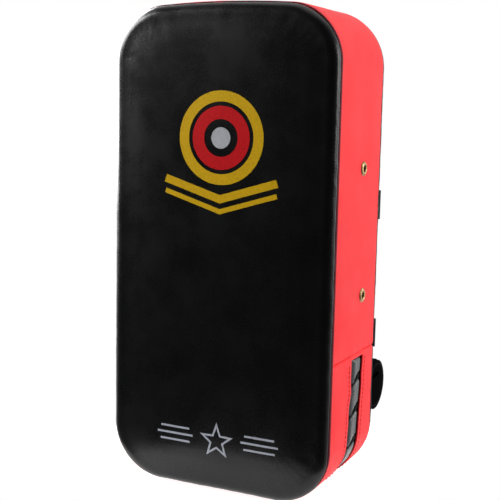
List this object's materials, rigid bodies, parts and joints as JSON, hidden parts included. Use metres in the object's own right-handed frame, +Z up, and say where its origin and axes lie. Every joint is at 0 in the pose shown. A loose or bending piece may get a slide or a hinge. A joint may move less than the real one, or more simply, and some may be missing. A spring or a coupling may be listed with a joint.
{
  "type": "thai pad",
  "caption": "Foam filled forearm strike pad with a laced lower gusset, a padded grip and hook-and-loop forearm straps through rings on its back.",
  "frame": {"origin": "on the floor under the middle of the whole object's box, with the pad standing on its flat lower end", "axes": "+Z up along the pad's length, striking face towards -Y, width along X"},
  "size_m": [0.2026, 0.1816, 0.402],
  "materials": {
    "black_leather": "satin",
    "red_leather": "satin",
    "gloss_black": "gloss",
    "black_cord": "matte",
    "black_webbing": "matte",
    "hook_and_loop": "matte",
    "foam": "matte",
    "antique_brass": "satin",
    "nickel_steel": "polished"
  },
  "bodies": {
    "pad": {"front_panel": "black_leather", "back_panel": "black_leather", "side_gusset_upper": "red_leather", "side_gusset_lower_front": "red_leather", "side_gusset_lower_rear": "red_leather", "lacing_tongue": "gloss_black", "lace": "black_cord", "foam_strike_layer": "foam", "foam_core": "foam", "foam_back_layer": "foam", "grip_anchor_right": "black_leather", "grip_anchor_left": "black_leather", "vent_eyelet_right_upper": "antique_brass", "eyelet_washer_right_upper": "antique_brass", "grip_rivet_right_upper": "nickel_steel", "vent_eyelet_right_lower": "antique_brass", "eyelet_washer_right_lower": "antique_brass", "grip_rivet_right_lower": "nickel_steel", "vent_eyelet_left_upper": "antique_brass", "eyelet_washer_left_upper": "antique_brass", "grip_rivet_left_upper": "nickel_steel", "vent_eyelet_left_lower": "antique_brass", "eyelet_washer_left_lower": "antique_brass", "grip_rivet_left_lower": "nickel_steel", "upper_strap": "black_webbing", "upper_ring_tab": "black_webbing", "upper_loop_patch": "hook_and_loop", "lower_strap": "black_webbing", "lower_ring_tab": "black_webbing", "lower_loop_patch": "hook_and_loop"},
    "grip": {"grip_sleeve": "black_leather", "grip_foam": "foam", "grip_webbing": "black_webbing"},
    "upper_ring": {"upper_ring": "nickel_steel"},
    "upper_tail": {"upper_strap_tail": "black_webbing", "upper_hook_patch": "hook_and_loop"},
    "lower_ring": {"lower_ring": "nickel_steel"},
    "lower_tail": {"lower_strap_tail": "black_webbing", "lower_hook_patch": "hook_and_loop"}
  },
  "joints": [
    {"name": "grip_rock", "type": "hinge", "parent": "pad", "child": "grip", "pos_m": [0, 0.02025, 0.066], "axis": [1, 0, 0], "range_deg": [-12, 12]},
    {"name": "upper_ring_swivel", "type": "hinge", "parent": "pad", "child": "upper_ring", "pos_m": [0.087, 0.022, 0.238], "axis": [0, 0, 1], "range_deg": [-5, 5]},
    {"name": "upper_tail_peel", "type": "hinge", "parent": "pad", "child": "upper_tail", "pos_m": [0.07832, 0.03679, 0.238], "axis": [0, 0, -1], "range_deg": [0, 150]},
    {"name": "lower_ring_swivel", "type": "hinge", "parent": "pad", "child": "lower_ring", "pos_m": [0.087, 0.022, 0.1255], "axis": [0, 0, 1], "range_deg": [-5, 5]},
    {"name": "lower_tail_peel", "type": "hinge", "parent": "pad", "child": "lower_tail", "pos_m": [0.07832, 0.03679, 0.1255], "axis": [0, 0, -1], "range_deg": [0, 150]}
  ]
}
